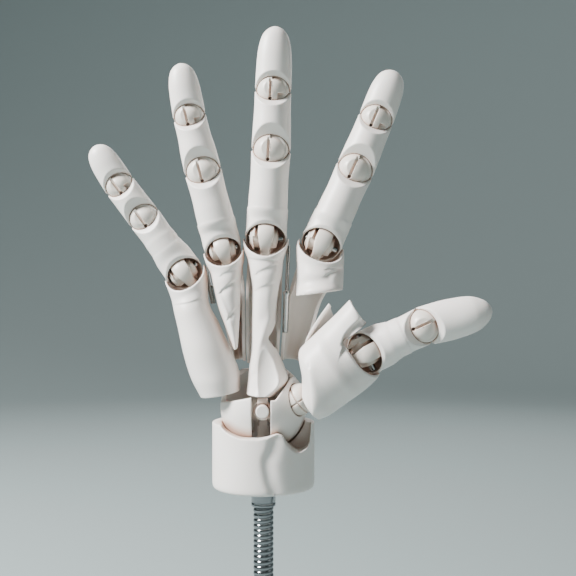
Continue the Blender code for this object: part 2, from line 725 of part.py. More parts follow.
def neck():
    """The flexible neck in three lengths that bend on each other, with its end fittings."""
    foot, top = FITTING_HEIGHT, FITTING_HEIGHT + NECK_LENGTH
    first, second = foot + NECK_LENGTH / 3, foot + 2 * NECK_LENGTH / 3
    lower = rod("neck_lower", NECK_RADIUS, (0, 0, foot + GAP), (0, 0, first - 3.2), steel(), 20)
    join(lower, ball("knob", (0, 0, first), 4.2, None, 12, 7))
    middle = rod("neck_middle", NECK_RADIUS, (0, 0, first + 1.0), (0, 0, second - 3.2), steel(), 20)
    cut(middle, ball("socket", (0, 0, first), 4.5, None, 12, 7))
    join(middle, ball("knob", (0, 0, second), 4.2, None, 12, 7))
    upper = rod("neck_upper", NECK_RADIUS, (0, 0, second + 1.0), (0, 0, top - GAP), steel(), 20)
    cut(upper, ball("socket", (0, 0, second), 4.5, None, 12, 7))
    rod("neck_ferrule", FERRULE_RADIUS, (0, 0, top), (0, 0, CUFF_Z + 7.5), chrome(), 20)
    profile = [(STUD_RADIUS - 1.0, -STUD_LENGTH), (STUD_RADIUS, -STUD_LENGTH + 1.0), (STUD_RADIUS, 0.0)]
    profile += [(9.0, 0.0), (9.0, 8.0), (7.0, 9.0), (7.0, FITTING_HEIGHT)]
    turned("mounting_fitting", profile, steel(), None, 24)


def tidy(mesh):
    """Merges the slivers that the cuts leave on flat faces."""
    edit = bmesh.new()
    edit.from_mesh(mesh)
    bmesh.ops.remove_doubles(edit, verts=edit.verts, dist=0.03)
    bmesh.ops.dissolve_degenerate(edit, edges=edit.edges, dist=0.03)
    bmesh.ops.dissolve_limit(edit, angle_limit=math.radians(0.6), verts=edit.verts, edges=edit.edges)
    bmesh.ops.triangulate(edit, faces=edit.faces)
    edit.to_mesh(mesh)
    edit.free()


def main():
    for old in list(bpy.data.objects):
        bpy.data.objects.remove(old)
    for name, spec in FINGERS.items():
        finger(name, spec)
    middle_ray()
    index_ray()
    ring_ray()
    pinky_ray()
    thumb()
    wrist()
    cuff()
    forearm_post()
    neck()
    for obj in bpy.context.scene.collection.objects:
        tidy(obj.data)
        obj.data.transform(Matrix.Scale(MM, 4))
        obj.data.shade_smooth()
        obj.data.set_sharp_from_angle(angle=math.radians(35))


main()
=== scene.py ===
"""A studio view of the poseable hand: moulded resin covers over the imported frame.

Shapes are made in millimetres in the frame's own axes, and scaled to metres when they are placed.
Joint centres and fingertips come from the frame. Heights of the palm's cross-lines are counted
from the foot of the cuff.
"""

import json
import math

import bpy
import numpy as np
from mathutils import Matrix, Vector


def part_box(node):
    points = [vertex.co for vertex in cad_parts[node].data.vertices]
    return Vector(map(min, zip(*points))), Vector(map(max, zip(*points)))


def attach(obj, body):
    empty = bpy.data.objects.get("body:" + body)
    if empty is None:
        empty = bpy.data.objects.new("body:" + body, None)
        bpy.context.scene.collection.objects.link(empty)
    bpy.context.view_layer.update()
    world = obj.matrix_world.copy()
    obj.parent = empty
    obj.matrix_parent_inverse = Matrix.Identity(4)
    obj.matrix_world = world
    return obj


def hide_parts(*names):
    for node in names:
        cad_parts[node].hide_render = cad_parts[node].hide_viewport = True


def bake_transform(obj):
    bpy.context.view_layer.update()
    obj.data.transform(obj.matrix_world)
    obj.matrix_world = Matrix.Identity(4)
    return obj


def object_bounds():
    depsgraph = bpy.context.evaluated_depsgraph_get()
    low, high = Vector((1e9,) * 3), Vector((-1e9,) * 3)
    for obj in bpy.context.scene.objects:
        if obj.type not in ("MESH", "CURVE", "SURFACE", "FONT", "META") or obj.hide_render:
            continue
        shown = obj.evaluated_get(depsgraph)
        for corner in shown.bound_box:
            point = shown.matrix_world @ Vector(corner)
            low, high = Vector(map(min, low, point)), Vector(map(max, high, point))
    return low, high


MM = 0.001
ROUND = 56
REACH = 60.0

# Clearances and walls. The walls are a little thinner or thicker here than the frame's
GAP = 0.3
HINGE_GAP = 0.45
CUP_GAP = 0.45
CUP_WALL = 0.9
SOCKET_WALL = 0.8
COVER_WALL = 1.8
FACET_WALL = 3.4
THUMB_WALL = 2.0
THUMB_CUP_WALL = 0.7
WRIST_WALL = 2.4
BALL_SHARE = 0.84
BALL_GAP = 0.15
HINGE_LINE = 0.12

# Angles of the openings, from the bone's axis towards the palm
UPPER_LID, LOWER_LID = 36.0, 138.0
DIP_UPPER_LID, DIP_LOWER_LID = 42.0, 136.0
MCP_UPPER_LID, MCP_LOWER_LID = 44.0, 130.0
THUMB_LOWER_LID = 112.0
LIP_ANGLE = 215.0
KNUCKLE_ANGLE = -112.0

# Radii at the knuckle and the next two joints, the lean of the metacarpal in degrees, and where it
# isn't NARROWING, the shape of the palm side of the knuckle's cup
FINGERS = {
    "index": dict(radii=(10.3, 9.7, 8.9), lean=13.4, cup=((1.0, 1.0), (0.99, 1.11), (0.886, 1.2))),
    "middle": dict(radii=(10.3, 9.9, 9.1), lean=0.6),
    "ring": dict(radii=(9.0, 9.3, 8.2), lean=-9.0),
    "pinky": dict(radii=(9.4, 8.2, 7.8), lean=-22.8, cup=((1.0, 1.0), (1.0, 0.93), (1.03, 0.78))),
}
# Left and right widths of the three cross-lines of a knuckle cup, as shares of the knuckle
NARROWING = ((1.0, 1.0), (0.93, 0.93), (0.78, 0.78))
THUMB_RADII = (10.9, 9.3)
THUMB_BALL = 7.8
COLLAR_STEP = 14.2
WRIST_RADIUS = 21.5
CORE_RADIUS = 8.5
POST_RADIUS = 3.0
CHANNEL_LEFT, CHANNEL_RIGHT = -5.2, 3.9
BOSS_RADIUS = 3.2
PIN_RADIUS = 1.5
NAIL_DEPTH, NAIL_SOFTNESS = 0.38, 0.11
NECK_RADIUS = 5.1
WIRE_PITCH = 2.6
THREAD_PITCH = 1.5
VIEW_X, VIEW_HEIGHT, VIEW_DISTANCE = 12.25, 99.0, 440.0
# Painted shade: the tan that resin colours are mixed towards in narrow openings
PAINTED_SHADE_TAN = (0.56, 0.4, 0.32)


# ---- frame ----------------------------------------------------------------------------------

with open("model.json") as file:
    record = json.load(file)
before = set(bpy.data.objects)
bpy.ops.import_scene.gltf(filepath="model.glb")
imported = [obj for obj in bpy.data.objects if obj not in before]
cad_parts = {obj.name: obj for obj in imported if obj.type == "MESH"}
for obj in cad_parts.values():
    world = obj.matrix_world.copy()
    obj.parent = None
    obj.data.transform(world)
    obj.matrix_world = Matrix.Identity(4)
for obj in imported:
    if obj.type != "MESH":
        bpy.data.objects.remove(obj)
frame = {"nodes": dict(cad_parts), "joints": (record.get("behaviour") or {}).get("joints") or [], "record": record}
CAD_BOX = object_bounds()
JOINTS = {joint["name"]: Vector(joint["pos_m"]) / MM for joint in frame["joints"]}
BODY_OF = {
    node: body for body, nodes in frame["record"]["behaviour"]["bodies"].items() for node in nodes
}
CUFF_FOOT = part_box("forearm_cuff")[0].z / MM
WRIST = JOINTS["wrist_flexion"]


def farthest(node, point):
    """The point of a CAD node farthest from a given point."""
    spots = [vertex.co / MM for vertex in frame["nodes"][node].data.vertices]
    return max(spots, key=lambda spot: (spot - point).length)


def tip_of(name, hinge):
    """The end of a fingertip, on the line from its hinge through the middle of its end."""
    end = farthest(f"{name}_distal_cover", hinge)
    near = [vertex.co / MM for vertex in frame["nodes"][f"{name}_distal_cover"].data.vertices]
    near = [spot for spot in near if (spot - end).length < 5.0]
    middle = sum(near, Vector()) / len(near)
    return hinge + (middle - hinge).normalized() * (end - hinge).length


# ---- mesh helpers ---------------------------------------------------------------------------


def make(name, points, faces, place=None):
    place = place or Matrix()
    mesh = bpy.data.meshes.new(name)
    mesh.from_pydata([place @ Vector(p) for p in points], [], faces)
    mesh.update()
    obj = bpy.data.objects.new(name, mesh)
    bpy.context.scene.collection.objects.link(obj)
    return obj


def settle(obj):
    """Applies an object's modifiers."""
    graph = bpy.context.evaluated_depsgraph_get()
    done = bpy.data.meshes.new_from_object(obj.evaluated_get(graph))
    obj.modifiers.clear()
    obj.data = done
    return obj


def combine(body, other, operation):
    modifier = body.modifiers.new("combine", "BOOLEAN")
    modifier.solver = "MANIFOLD"
    modifier.operation = operation
    modifier.object = other
    settle(body)
    bpy.data.objects.remove(other)
    return body


def cut(body, *cutters):
    for cutter in cutters:
        combine(body, cutter, "DIFFERENCE")
    return body


def join(body, *others):
    for other in others:
        combine(body, other, "UNION")
    return body


def fair(rows, per=8):
    """More rows between the given ones, on a smooth curve through them that doesn't overshoot."""
    data = np.array(rows, float)
    change = np.diff(data, axis=0)
    span = np.maximum(np.linalg.norm(change, axis=1), 1e-6)[:, None]
    slope = change / span
    before, after = slope[:-1], slope[1:]
    agree = before * after > 0
    total = np.where(agree, before + after, 1.0)
    bend = np.zeros_like(data)
    bend[1:-1] = np.where(agree, 2 * before * after / total, 0.0)
    bend[0], bend[-1] = slope[0], slope[-1]
    made = []
    for k in range(len(span)):
        for t in np.arange(per) / per:
            start = (1 + 2 * t) * (1 - t) ** 2 * data[k] + t * (1 - t) ** 2 * span[k] * bend[k]
            end = t * t * (3 - 2 * t) * data[k + 1] + t * t * (t - 1) * span[k] * bend[k + 1]
            made.append(start + end)
    made.append(data[-1])
    return [tuple(row) for row in made]


def oval(z, rx, ry, count=ROUND, cy=0.0):
    turn = 2 * math.pi / count
    return [(rx * math.cos(turn * k), cy + ry * math.sin(turn * k), z) for k in range(count)]


def loft(name, rings, place=None):
    """A solid through rings of equal length, lowest first, closed by a fan at each end."""
    count = len(rings[0])
    points = [p for ring in rings for p in ring]
    faces = []
    for level in range(len(rings) - 1):
        low, high = level * count, (level + 1) * count
        for k in range(count):
            after = (k + 1) % count
            faces.append((low + k, low + after, high + after, high + k))
    for ring, base, up in ((rings[0], 0, False), (rings[-1], len(points) - count, True)):
        middle = len(points)
        points.append(tuple(sum(p[axis] for p in ring) / count for axis in range(3)))
        for k in range(count):
            after = (k + 1) % count
            faces.append((base + k, base + after, middle) if up else (base + after, base + k, middle))
    return make(name, points, faces, place)


def turned(name, profile, place=None, count=ROUND):
    """A solid of revolution about Z from (radius, z) points, lowest first."""
    return loft(name, [oval(z, max(r, 0.01), max(r, 0.01), count) for r, z in profile], place)


def rod(name, radius, low, high, count=40):
    low, high = Vector(low), Vector(high)
    return turned(name, [(radius, 0.0), (radius, (high - low).length)], frame_along(low, high), count)


def ball(name, centre, radius, count=ROUND, rows=28):
    """A round ball with its poles on the X axis."""
    angles = [math.pi * (row / rows - 0.5) for row in range(rows + 1)]
    profile = [(radius * math.cos(angle), radius * math.sin(angle)) for angle in angles]
    place = Matrix.Translation(Vector(centre)) @ Matrix.Rotation(math.pi / 2, 4, "Y")
    return turned(name, profile, place, count)


def prism(name, outline, low, high, place=None):
    """An outline of (y, z) points pushed along X from low to high."""
    count = len(outline)
    points = [(low, y, z) for y, z in outline] + [(high, y, z) for y, z in outline]
    after = outline[1:] + outline[:1]
    area = sum(a[0] * b[1] - b[0] * a[1] for a, b in zip(outline, after, strict=True))
    faces = [tuple(reversed(range(count))), tuple(range(count, 2 * count))]
    faces += [(k, (k + 1) % count, count + (k + 1) % count, count + k) for k in range(count)]
    if area < 0:
        faces = [tuple(reversed(face)) for face in faces]
    return make(name, points, faces, place)


def block(name, low, high, place=None):
    outline = [(low[1], low[2]), (high[1], low[2]), (high[1], high[2]), (low[1], high[2])]
    return prism(name, outline, low[0], high[0], place)


def wedge(place, height, start, end, left=-60.0, right=60.0):
    """A cutter fanned about the X axis at this height. Angles run from +Z towards the palm."""
    steps = max(1, math.ceil(abs(end - start) / 60))
    outline = [(0.0, height)]
    for step in range(steps + 1):
        angle = math.radians(start + (end - start) * step / steps)
        outline.append((-REACH * math.sin(angle), height + REACH * math.cos(angle)))
    return prism("wedge", outline, left, right, place)


def frame_along(base, tip):
    """Origin at base, Z towards tip, Y to the back of the hand."""
    up = (Vector(tip) - Vector(base)).normalized()
    back = Vector((0.0, 1.0, 0.0)) if abs(up.y) < 0.99 else Vector((0.0, 0.0, 1.0))
    back = (back - back.dot(up) * up).normalized()
    turn = Matrix((back.cross(up), back, up)).transposed().to_4x4()
    return Matrix.Translation(Vector(base)) @ turn


def frame_leaning(base, degrees):
    lean = math.radians(degrees)
    return frame_along(base, Vector(base) + Vector((math.sin(lean), 0.0, math.cos(lean))))


def on_palm(spot):
    """An (x, height) point in the middle plane of the hand."""
    return Vector((spot[0], 0.0, CUFF_FOOT + spot[1]))


def moulded(obj, voxel=0.4, relax=6):
    """Gives a piece the small even roundings of a moulding."""
    even = obj.modifiers.new("even", "REMESH")
    even.mode = "VOXEL"
    even.voxel_size = voxel
    soft = obj.modifiers.new("soft", "SMOOTH")
    soft.factor = 0.5
    soft.iterations = relax
    return settle(obj)


def press(obj, path, width, depth, sharp=None):
    """Presses a soft groove into the palm side along (x, height) points, laid out as the camera sees them.

    A negative depth raises it. A sharp width narrows the side to the right of the path, which makes
    a folded edge there.
    """
    mesh = obj.data
    spots = np.empty(len(mesh.vertices) * 3)
    mesh.vertices.foreach_get("co", spots)
    spots = spots.reshape(-1, 3)
    normals = np.empty(len(mesh.vertices) * 3)
    mesh.vertices.foreach_get("normal", normals)
    facing = np.clip(-normals.reshape(-1, 3)[:, 1] * 2.5, 0.0, 1.0)
    view = np.array([VIEW_X, VIEW_HEIGHT])
    flat = spots[:, [0, 2]] - np.array([0.0, CUFF_FOOT]) - view
    flat = view + flat * (VIEW_DISTANCE / (VIEW_DISTANCE + spots[:, [1]]))
    route = np.array(fair(path, 6) if len(path) > 2 else path, float)
    nearest = np.full(len(flat), 1e9)
    widths = np.full(len(flat), width)
    for start, end in zip(route[:-1], route[1:], strict=True):
        along = end - start
        share = np.clip((flat - start) @ along / max(along @ along, 1e-9), 0.0, 1.0)
        offset = flat - start - share[:, None] * along
        distance = np.linalg.norm(offset, axis=1)
        right = along[0] * offset[:, 1] - along[1] * offset[:, 0] < 0
        closer = distance < nearest
        widths = np.where(closer, np.where(right, sharp or width, width), widths)
        nearest = np.where(closer, distance, nearest)
    spots[:, 1] += depth * np.exp(-((nearest / widths) ** 2)) * facing
    mesh.vertices.foreach_set("co", spots.reshape(-1))
    mesh.update()
    return obj


def place_piece(obj, node, look):
    """Puts a finished piece on its CAD node's body, in that node's place."""
    obj.name = f"{node}_detail"
    obj.data.materials.clear()
    obj.data.materials.append(look)
    obj.data.transform(Matrix.Scale(MM, 4))
    obj.data.shade_smooth()
    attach(obj, BODY_OF[node])
    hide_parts(node)
    return obj


# ---- materials ------------------------------------------------------------------------------


def noise_node(tree, scale, detail, source):
    noise = tree.nodes.new("ShaderNodeTexNoise")
    noise.inputs["Scale"].default_value = scale
    noise.inputs["Detail"].default_value = detail
    tree.links.new(source, noise.inputs["Vector"])
    return noise.outputs["Fac"]


def spread(tree, value, low, high):
    """Maps the middle of a noise to a range."""
    node = tree.nodes.new("ShaderNodeMapRange")
    node.inputs["From Min"].default_value = 0.3
    node.inputs["From Max"].default_value = 0.7
    node.inputs["To Min"].default_value = low
    node.inputs["To Max"].default_value = high
    tree.links.new(value, node.inputs["Value"])
    return node.outputs["Result"]


def paint_shade_in_openings(tree, colour):
    """Paints shade: mixes a colour towards tan where an occlusion mask finds little open space round the surface.
    """
    shade_occlusion = tree.nodes.new("ShaderNodeAmbientOcclusion")
    shade_occlusion.inputs["Distance"].default_value = 0.007
    curve = tree.nodes.new("ShaderNodeMapRange")
    curve.inputs["From Min"].default_value = 0.25
    curve.inputs["From Max"].default_value = 0.85
    tree.links.new(shade_occlusion.outputs["AO"], curve.inputs["Value"])
    painted_shade_mix = tree.nodes.new("ShaderNodeMix")
    painted_shade_mix.data_type = "RGBA"
    painted_shade_mix.inputs["A"].default_value = (*PAINTED_SHADE_TAN, 1.0)
    tree.links.new(curve.outputs["Result"], painted_shade_mix.inputs["Factor"])
    tree.links.new(colour, painted_shade_mix.inputs["B"])
    return painted_shade_mix.outputs["Result"]


def surface(name, light, dark, roughness, metallic, grain, grain_depth, wave_depth, subsurface=0.0):
    """A material whose colour, roughness and relief vary a little over the surface.

    Resin, which has some subsurface, also gets painted shade: its colour is mixed towards tan in narrow openings
    by an occlusion mask.
    """
    made = bpy.data.materials.new(name)
    made.use_nodes = True
    tree = made.node_tree
    shader = tree.nodes["Principled BSDF"]
    shader.inputs["Metallic"].default_value = metallic
    shader.inputs["Subsurface Weight"].default_value = subsurface
    shader.inputs["Subsurface Radius"].default_value = (1.0, 0.6, 0.45)
    shader.inputs["Subsurface Scale"].default_value = 0.0015
    where = tree.nodes.new("ShaderNodeTexCoord").outputs["Object"]
    broad = noise_node(tree, 45.0, 3.0, where)
    fine = noise_node(tree, grain, 2.0, where)
    mix = tree.nodes.new("ShaderNodeMix")
    mix.data_type = "RGBA"
    mix.inputs["A"].default_value = (*dark, 1.0)
    mix.inputs["B"].default_value = (*light, 1.0)
    tree.links.new(spread(tree, broad, 0.0, 1.0), mix.inputs["Factor"])
    # Painted shade: pieces with subsurface get their colour mixed towards tan in narrow openings
    colour = paint_shade_in_openings(tree, mix.outputs["Result"]) if subsurface else mix.outputs["Result"]
    tree.links.new(colour, shader.inputs["Base Color"])
    tree.links.new(spread(tree, fine, roughness - 0.05, roughness + 0.05), shader.inputs["Roughness"])
    waves = tree.nodes.new("ShaderNodeBump")
    waves.inputs["Distance"].default_value = wave_depth
    tree.links.new(broad, waves.inputs["Height"])
    relief = tree.nodes.new("ShaderNodeBump")
    relief.inputs["Distance"].default_value = grain_depth
    tree.links.new(fine, relief.inputs["Height"])
    tree.links.new(waves.outputs["Normal"], relief.inputs["Normal"])
    tree.links.new(relief.outputs["Normal"], shader.inputs["Normal"])
    return made


COVER_LOOK = surface(
    "cover_resin", (0.885, 0.84, 0.795), (0.865, 0.81, 0.76),
    roughness=0.42, metallic=0.0, grain=2600.0, grain_depth=0.000012, wave_depth=0.0002, subsurface=0.1,
)
JOINT_LOOK = surface(
    "joint_resin", (0.79, 0.735, 0.665), (0.73, 0.67, 0.6),
    roughness=0.36, metallic=0.0, grain=1800.0, grain_depth=0.000008, wave_depth=0.0001, subsurface=0.1,
)
ROD_LOOK = surface(
    "rod_steel", (0.42, 0.43, 0.42), (0.32, 0.33, 0.32),
    roughness=0.24, metallic=1.0, grain=3200.0, grain_depth=0.00001, wave_depth=0.0,
)
# Painted dark reflection: the base colour is far darker than steel, standing in for the dark surroundings the neck
# reflects
NECK_LOOK = surface(
    "neck_steel", (0.3, 0.31, 0.32), (0.2, 0.21, 0.22),
    roughness=0.16, metallic=1.0, grain=2200.0, grain_depth=0.00001, wave_depth=0.0,
)
# Painted dark reflection: the base colour is far darker than plated metal, standing in for the dark surroundings
# the ferrule reflects
CHROME_LOOK = surface(
    "chrome", (0.3, 0.31, 0.32), (0.22, 0.23, 0.24),
    roughness=0.1, metallic=1.0, grain=1500.0, grain_depth=0.000004, wave_depth=0.0,
)
FITTING_LOOK = surface(
    "fitting_steel", (0.68, 0.68, 0.68), (0.56, 0.56, 0.56),
    roughness=0.3, metallic=1.0, grain=2800.0, grain_depth=0.00001, wave_depth=0.0,
)


# ---- fingers --------------------------------------------------------------------------------


def oval_rows(rows):
    """Rings from (height, width, depth, shift) rows, on a smooth curve through them."""
    return [oval(z, rx, ry, ROUND, cy) for z, rx, ry, cy in fair(rows)]


def lid_cutters(place, height, radius, start, end):
    """The socket of a hinge ball and the opening on the palm side of the hinge."""
    socket = ball("socket", place @ Vector((0, 0, height)), radius * BALL_SHARE + HINGE_GAP)
    return socket, wedge(place, height, start, end)


def trim_foot(cover, hinge, radius, start):
    """Cuts a cover's foot along the hinge line and opens it round the hinge ball."""
    below = block("below", (-REACH, -REACH, -REACH), (REACH, REACH, HINGE_LINE), hinge)
    return cut(cover, below, *lid_cutters(hinge, 0.0, radius, start, 120.0))


def half_ring(centre, radius, thickness, place, tilt):
    """A rolled rim: half a ring about a hinge, in the plane at this angle from the bone's axis."""
    steps, count = 40, 20
    turn = place.to_3x3()
    outward = turn @ Vector((0.0, -math.sin(tilt), math.cos(tilt)))
    across, normal = turn @ Vector((1.0, 0.0, 0.0)), turn @ Vector((0.0, math.cos(tilt), math.sin(tilt)))
    rings = []
    for step in range(steps + 1):
        sweep = math.pi * (0.02 + 0.96 * step / steps)
        spoke = across * math.cos(sweep) + outward * math.sin(sweep)
        slim = thickness * (0.35 + 0.65 * math.sin(sweep) ** 0.6)
        ring = []
        for k in range(count):
            around = 2 * math.pi * k / count
            offset = spoke * math.cos(around) + normal * math.sin(around)
            ring.append(tuple(centre + spoke * radius + offset * slim))
        rings.append(ring)
    return loft("rim", rings)


def hinge_notches(cover, place, height, radius):
    """The small dark notches at the two sides of a hinge."""
    for side in (-1, 1):
        inner, outer = sorted((side * (radius - 2.0), side * (radius + 2.0)))
        low, high = (inner, -0.75 * radius, height - 0.85), (outer, 0.15 * radius, height + 0.85)
        cut(cover, block("notch", low, high, place))
    return cover


def proximal_cover(base, tip, knuckle, radius):
    """The first bone's cover: a ball foot, a collar with a fine step and a tapering body."""
    place = frame_along(base, tip)
    length = (tip - base).length
    rows = []
    for angle in (56, 38, 19):
        turn = math.radians(angle)
        rows.append((-knuckle * math.sin(turn), knuckle * math.cos(turn), knuckle * math.cos(turn), 0.0))
    collar = max(knuckle, radius * 1.02)
    rows += [(0.0, knuckle, knuckle, 0.0), (4.0, collar, knuckle * 0.9, 0.5)]
    rows += [(9.0, collar * 0.99, knuckle * 0.86, 0.8), (COLLAR_STEP, radius * 1.035, radius * 0.98, 0.2)]
    rows += [(COLLAR_STEP + 0.5, radius * 1.03, radius * 0.975, 0.2)]
    rows += [(COLLAR_STEP + 0.9, radius, radius * 0.95, 0.0)]
    rows += [(20.0, radius * 0.99, radius * 0.95, 0.0)]
    rows += [(0.68 * length, radius * 0.96, radius * 0.92, 0.0)]
    rows += [(length - HINGE_LINE, radius, radius * 0.97, 0.0)]
    cover = loft("cover", oval_rows(rows), place)
    foot = ball("foot", base, knuckle - SOCKET_WALL)
    rim = half_ring(base, knuckle - 0.2, 1.1, place, math.radians(MCP_UPPER_LID - 4.0))
    cut(cover, wedge(place, 0.0, MCP_UPPER_LID, LIP_ANGLE))
    join(cover, rim)
    cut(cover, foot, wedge(place, 0.0, MCP_UPPER_LID + 6.0, LIP_ANGLE))
    cut(cover, *lid_cutters(place, length, radius, 60.0, LOWER_LID))
    return moulded(hinge_notches(cover, place, length, radius), 0.34, 3)


def middle_cover(hinge, base, tip, low, high):
    """The second bone's cover, with a hinge opening at each end."""
    place = frame_along(base, tip)
    length = (tip - base).length
    rows = [(-2.5, low, low * 0.97, 0.0), (0.35 * length, low * 0.965, low * 0.92, 0.0)]
    rows += [(0.7 * length, high * 1.005, high * 0.94, 0.0), (length - HINGE_LINE, high, high * 0.96, 0.0)]
    cover = trim_foot(loft("cover", oval_rows(rows), place), hinge, low, UPPER_LID)
    cut(cover, *lid_cutters(place, length, high, 60.0, DIP_LOWER_LID))
    hinge_notches(cover, hinge, 0.0, low)
    return moulded(hinge_notches(cover, place, length, high), 0.34, 3)


def distal_cover(hinge, base, tip, radius, fullness=0.98):
    """A fingertip with the raised outline of its nail on the back."""
    place = frame_along(base, tip)
    length = (tip - base).length
    rows = [(-2.5, radius, radius * 0.96, 0.0)]
    shape = ((0.3, 1.0), (0.55, 0.96), (0.72, 0.87), (0.86, 0.69), (0.95, 0.42), (0.99, 0.16))
    for share, width in shape:
        wide = radius * width * (fullness if share < 0.8 else 1.0)
        rows.append((share * length, wide, wide * 0.82, -0.04 * radius * share))
    cover = trim_foot(loft("cover", oval_rows(rows), place), hinge, radius, DIP_UPPER_LID)
    moulded(hinge_notches(cover, hinge, 0.0, radius), 0.34, 3)
    return nail(cover, place, length, radius)


def nail(cover, place, length, radius):
    """Sinks a rounded groove round the nail on the back of a fingertip."""
    mesh = cover.data
    inverse = place.inverted()
    middle, half_long, half_wide = 0.72 * length, 0.22 * length, 0.62 * radius
    for vertex in mesh.vertices:
        spot = inverse @ vertex.co
        if spot.y < 0.15 * radius:
            continue
        edge = math.hypot((spot.z - middle) / half_long, spot.x / half_wide)
        sink = NAIL_DEPTH * math.exp(-(((edge - 1.0) / NAIL_SOFTNESS) ** 2))
        vertex.co -= place.to_3x3() @ Vector((0.0, sink, 0.0))
    mesh.update()
    return cover


def hinge_ball(hinge, radius, step=False):
    """A hinge ball: a flatter left part, a round dome at the right and a slot between them.

    The slot holds the friction spring and ends in a small hole.
    """
    size = radius * BALL_SHARE + HINGE_GAP - BALL_GAP
    left, right = -1.9, -0.6
    far = 2 * size
    body = ball("ball", hinge.translation, size)
    cut(body, block("face", (-far, -far, -far), (left, -0.84 * size, far), hinge))
    cut(body, block("room", (right, -far, -far), (far, -0.5 * size, far), hinge))
    dome = ball("dome", hinge @ Vector((-0.02 * size, 0.0, -0.06 * size)), 0.94 * size)
    cut(dome, block("half", (-far, -far, -far), (right, far, far), hinge))
    if step:
        cut(dome, block("step", (0.3 * size, -far, -far), (far, -0.5 * size, -0.3 * size), hinge))
    join(body, dome)
    cut(body, block("slot", (left, -far, -0.7 * size), (right, -0.7 * size, 0.9 * size), hinge))
    middle, height = (left + right) / 2, -0.62 * size
    low, high = Vector((middle, -far, height)), Vector((middle, -0.3 * size, height))
    cut(body, rod("hole", 0.85, hinge @ low, hinge @ high))
    return moulded(body, 0.24, 1)


def knuckle_hub(place, knuckle):
    """The turned core of a knuckle: a crowned band that narrows downwards, and its stem.

    A narrower band stands at its left, and an open pocket at its right shows the end of the pin.
    """
    size = knuckle - SOCKET_WALL - HINGE_GAP
    band, end, pocket = 3.9, 0.87 * size, 0.55 * size
    taper, slice_wide = 13.0, 3.0

    def crown(x):
        return math.sqrt(size * size - x * x)

    profile = [(0.42 * size, -end), (crown(end) - 0.2, -end + 0.7), (crown(5.5) - 0.3, -5.5)]
    profile += [(pocket, -5.4), (pocket, -band), (crown(band), -band)]
    profile += [(crown(x), x) for x in np.linspace(-band + 0.3, band - 0.3, 15)]
    profile += [(crown(band), band), (pocket, band), (0.5 * size, 5.6), (2.5, 5.8), (2.5, 6.2)]
    lying = place @ Matrix.Rotation(math.pi / 2, 4, "Y")
    body = turned("hub", profile, lying)
    for side in (-1, 1):
        front, back, foot = -1.4 * size, 0.6 * size, -1.4 * size
        outline = [(back, 0.0), (front, 0.0), (front, foot), (back, foot)]
        shaving = prism("shaving", outline, 0.0, slice_wide)
        lean = Matrix.Rotation(math.radians(side * taper), 4, "Y")
        start = Vector((side * (band - 0.2) - (0.0 if side > 0 else slice_wide), 0.0, 0.0))
        shaving.data.transform(place @ Matrix.Translation(start) @ lean)
        clear = rod("clear", pocket, place @ Vector((-20, 0, 0)), place @ Vector((20, 0, 0)))
        cut(body, cut(shaving, clear))
    join(body, rod("stem", 2.6, place @ Vector((0, 0, -4)), place @ Vector((0, 0, -11.8))))
    reach = 2 * size
    cut(body, rod("bore", 1.9, place @ Vector((-reach, 0, 0)), place @ Vector((reach, 0, 0))))
    return moulded(body, 0.24, 1)


def knuckle_pin(place, knuckle):
    """A steel cross pin with chamfered ends."""
    half = knuckle - SOCKET_WALL - HINGE_GAP - 0.4
    profile = [(PIN_RADIUS - 0.4, 0.0), (PIN_RADIUS, 0.4)]
    profile += [(PIN_RADIUS, 2 * half - 0.4), (PIN_RADIUS - 0.4, 2 * half)]
    start = place @ Vector((-half, 0, 0))
    return turned("pin", profile, frame_along(start, place @ Vector((half, 0, 0))), 32)


def finger(name, radii):
    """The three covers, two hinge balls, knuckle hub and pin of one finger."""
    mcp, pip, dip = (JOINTS[f"{name}_{joint}"] for joint in ("spread", "pip_flexion", "dip_flexion"))
    tip = tip_of(name, dip)
    knuckle, first, second = radii
    root = frame_along(mcp, pip)
    pip_hinge = root @ Matrix.Translation((0, 0, (pip - mcp).length))
    dip_hinge = frame_along(pip, dip) @ Matrix.Translation((0, 0, (dip - pip).length))
    place_piece(proximal_cover(mcp, pip, knuckle, first), f"{name}_proximal_cover", COVER_LOOK)
    place_piece(middle_cover(pip_hinge, pip, dip, first, second), f"{name}_middle_cover", COVER_LOOK)
    place_piece(distal_cover(dip_hinge, dip, tip, second), f"{name}_distal_cover", COVER_LOOK)
    place_piece(hinge_ball(pip_hinge, first), f"{name}_pip_ball", JOINT_LOOK)
    place_piece(hinge_ball(dip_hinge, second, True), f"{name}_dip_ball", JOINT_LOOK)
    place_piece(knuckle_hub(root, knuckle), f"{name}_knuckle_hub", JOINT_LOOK)
    place_piece(knuckle_pin(root, knuckle), f"{name}_knuckle_pin", ROD_LOOK)


# ---- palm -----------------------------------------------------------------------------------


def rung(left, right, edge, bulge):
    """One cross-line of a cover: its edge points, the depth of its edges and its crown."""
    return (*left, *right, edge, bulge)


def cup_rungs(name, side):
    """The three top cross-lines of a metacarpal cover, a half cup that narrows below the knuckle."""
    knuckle = FINGERS[name]["radii"][0] + CUP_GAP + CUP_WALL
    lean = math.radians(FINGERS[name]["lean"])
    mcp = JOINTS[f"{name}_spread"]
    shares = FINGERS[name].get("cup", NARROWING) if side < 0 else NARROWING
    rungs = []
    for drop, (near, far) in zip((0.0, 5.5, 10.5), shares, strict=True):
        x = mcp.x - drop * math.sin(lean)
        z = mcp.z - CUFF_FOOT - drop * math.cos(lean)
        dx, dz = knuckle * math.cos(lean), knuckle * math.sin(lean)
        ends = (x - near * dx, z + near * dz), (x + far * dx, z - far * dz)
        rungs.append(rung(*ends, side * 0.2, knuckle - 0.2))
    return rungs


